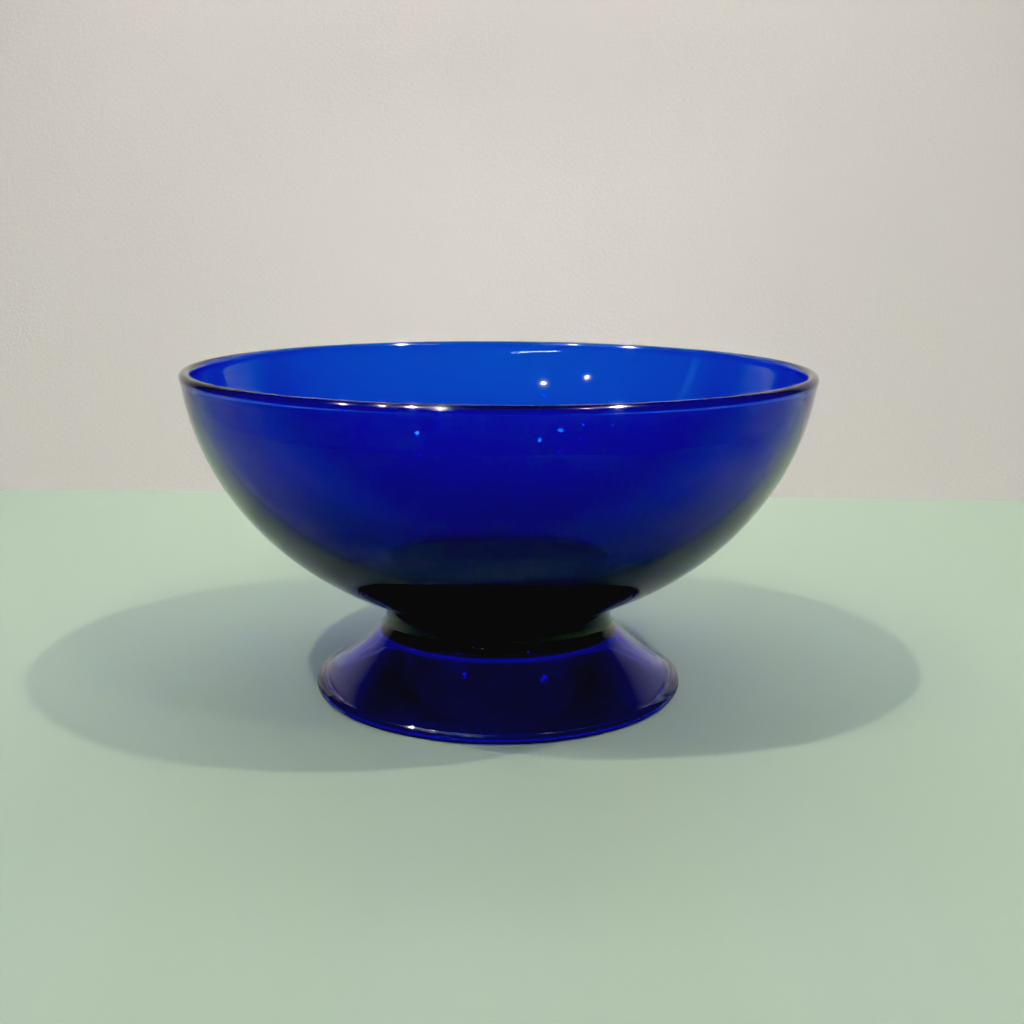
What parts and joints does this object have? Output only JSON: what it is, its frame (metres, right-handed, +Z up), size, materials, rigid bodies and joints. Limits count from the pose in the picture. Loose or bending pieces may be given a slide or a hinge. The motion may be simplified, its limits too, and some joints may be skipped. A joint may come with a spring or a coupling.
{
  "type": "footed glass bowl",
  "caption": "Wide round bowl of deep blue glass with a rolled rim bead, a short waisted neck and a flared hollow foot, for serving fruit or sweets.",
  "frame": {"origin": "centre of the foot's standing ring, on the table plane", "axes": "+Z up along the axis that every piece is turned about; X and Y lie in the table plane and are interchangeable"},
  "size_m": [0.22, 0.22, 0.1155],
  "materials": {
    "bowl_glass": "glossy, cobalt-blue, fire-polished",
    "collar_glass": "glossy, cobalt-blue, thick",
    "foot_glass": "glossy, cobalt-blue, fire-polished"
  },
  "bodies": {
    "root": {"bowl": "bowl_glass", "neck_collar": "collar_glass", "foot": "foot_glass"}
  },
  "joints": []
}
